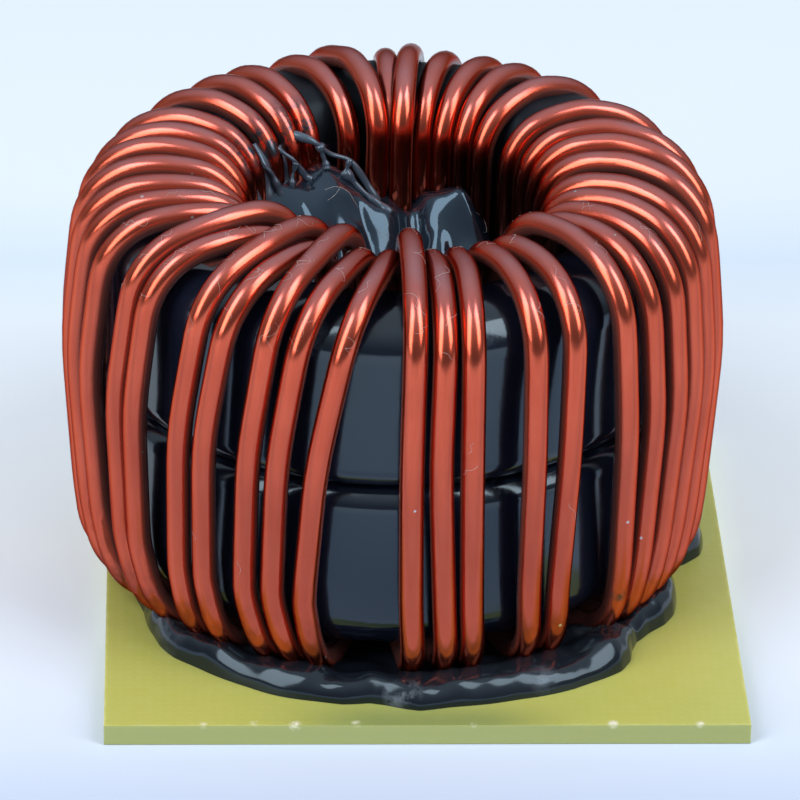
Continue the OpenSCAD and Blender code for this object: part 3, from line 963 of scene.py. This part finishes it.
# Stage, light and camera
def floor():
    """A pale sheet that is darker and bluer just in front of the part as painted shadow, brighter level with
    the part as painted light, and bluer in a band behind it.
    """
    mat, t, p = new_material("floor")
    obj = coordinate(t, "Object")
    _, y, _ = axes(t, obj)
    # Painted shadow darkest about 12 mm in front of the plate; painted light on the strip level with the part
    base = ramp(t, fade(t, y, -0.11, 0.09), [
        (0.0, (0.78, 0.84, 0.92)), (0.28, (0.66, 0.74, 0.87)), (0.37, (0.48, 0.57, 0.73)),
        (0.43, (0.64, 0.73, 0.88)), (0.58, (0.88, 0.94, 0.98)), (0.776, (0.80, 0.875, 0.95)),
        (0.832, (0.68, 0.79, 0.90)), (0.90, (0.755, 0.835, 0.915)), (1.0, (0.76, 0.84, 0.92)),
    ])
    cloud = tone(t, noise(t, obj, 9.0, 2.0), 0.3, 0.7, 0.0, 0.08)
    t.links.new(mix(t, cloud, base, (0.68, 0.79, 0.95)), p.inputs["Base Color"])
    p.inputs["Roughness"].default_value = 0.7
    p.inputs["Specular IOR Level"].default_value = 0.1
    mesh = bpy.data.meshes.new("floor")
    half = 2.5
    corners = [(-half, -half, 0), (half, -half, 0), (half, half, 0), (-half, half, 0)]
    mesh.from_pydata(corners, [], [(0, 1, 2, 3)])
    mesh.materials.append(mat)
    sheet = bpy.data.objects.new("floor", mesh)
    sheet.location.z = -0.05 * MM
    scene.collection.objects.link(sheet)


def world():
    """A pale backdrop behind, a dim room in front."""
    studio = bpy.data.worlds.new("studio")
    studio.use_nodes = True
    scene.world = studio
    t = studio.node_tree
    _, y, z = axes(t, coordinate(t, "Generated"))
    behind = fade(t, y, -0.2, 0.3, interpolation_type="SMOOTHSTEP")
    zenith = (0.56, 0.58, 0.61)
    near = ramp(t, z, [
        (0.0, (0.10, 0.115, 0.14)), (0.26, (0.14, 0.155, 0.18)), (0.57, (0.29, 0.315, 0.35)),
        (0.9, (0.52, 0.54, 0.57)), (1.0, zenith),
    ])
    far = ramp(t, z, [
        (0.0, (0.28, 0.31, 0.35)), (0.42, (0.36, 0.40, 0.45)), (0.71, (0.44, 0.48, 0.53)),
        (0.92, (0.52, 0.55, 0.59)), (1.0, zenith),
    ])
    background = t.nodes["Background"]
    t.links.new(mix(t, behind, near, far), background.inputs["Color"])
    background.inputs["Strength"].default_value = 1.28


def softbox(name, azimuth, elevation, width, height):
    """A rectangular lamp aimed at the part, from in front at azimuth 0 and to the right at 90."""
    reach, radiance = 0.62, 4.2
    aim = Vector((RING_X * MM, RING_Y * MM, 0.02))
    a, e = math.radians(azimuth), math.radians(elevation)
    out = Vector((math.sin(a) * math.cos(e), -math.cos(a) * math.cos(e), math.sin(e)))
    lamp = bpy.data.lights.new(name, "AREA")
    lamp.shape = "RECTANGLE"
    lamp.size, lamp.size_y = width, height
    lamp.energy = radiance * math.pi * width * height
    lamp.color = (0.98, 0.99, 1.0)
    obj = bpy.data.objects.new(name, lamp)
    obj.location = aim + out * reach
    obj.rotation_mode = "QUATERNION"
    obj.rotation_quaternion = (-out).to_track_quat("-Z", "Y")
    scene.collection.objects.link(obj)


# The photograph's camera: its focal length in pixels, its angles, and the plate's centre as it sees it
PHOTO_PX, FOCAL_PX = 800.0, 6039.274
DOWN, YAW, ROLL = math.radians(27.82), 0.0424081, 0.0201097
AHEAD_MM, RIGHT_MM, UP_MM = 469.137, 1.26959, -14.30033


def camera():
    """The photograph's view: a long lens, about 28 degrees down."""
    ahead = Vector((math.sin(YAW) * math.cos(DOWN), math.cos(YAW) * math.cos(DOWN), -math.sin(DOWN)))
    level = Vector((math.cos(YAW), -math.sin(YAW), 0))
    upright = level.cross(ahead)
    right = level * math.cos(ROLL) + upright * math.sin(ROLL)
    up = upright * math.cos(ROLL) - level * math.sin(ROLL)
    cam = bpy.data.cameras.new("camera")
    cam.sensor_width = 36.0
    cam.lens = FOCAL_PX * cam.sensor_width / PHOTO_PX
    cam.clip_start, cam.clip_end = 0.01, 20.0
    obj = bpy.data.objects.new("camera", cam)
    pose = Matrix((right, up, -ahead)).transposed().to_4x4()
    pose.translation = -(right * RIGHT_MM + up * UP_MM + ahead * AHEAD_MM) * MM
    obj.matrix_world = pose
    scene.collection.objects.link(obj)
    scene.camera = obj


floor()
world()
softbox("softbox_left", -50, 36, 0.32, 0.66)
softbox("softbox_right", 56, 42, 0.29, 0.56)
camera()
scene.view_settings.view_transform = "Standard"
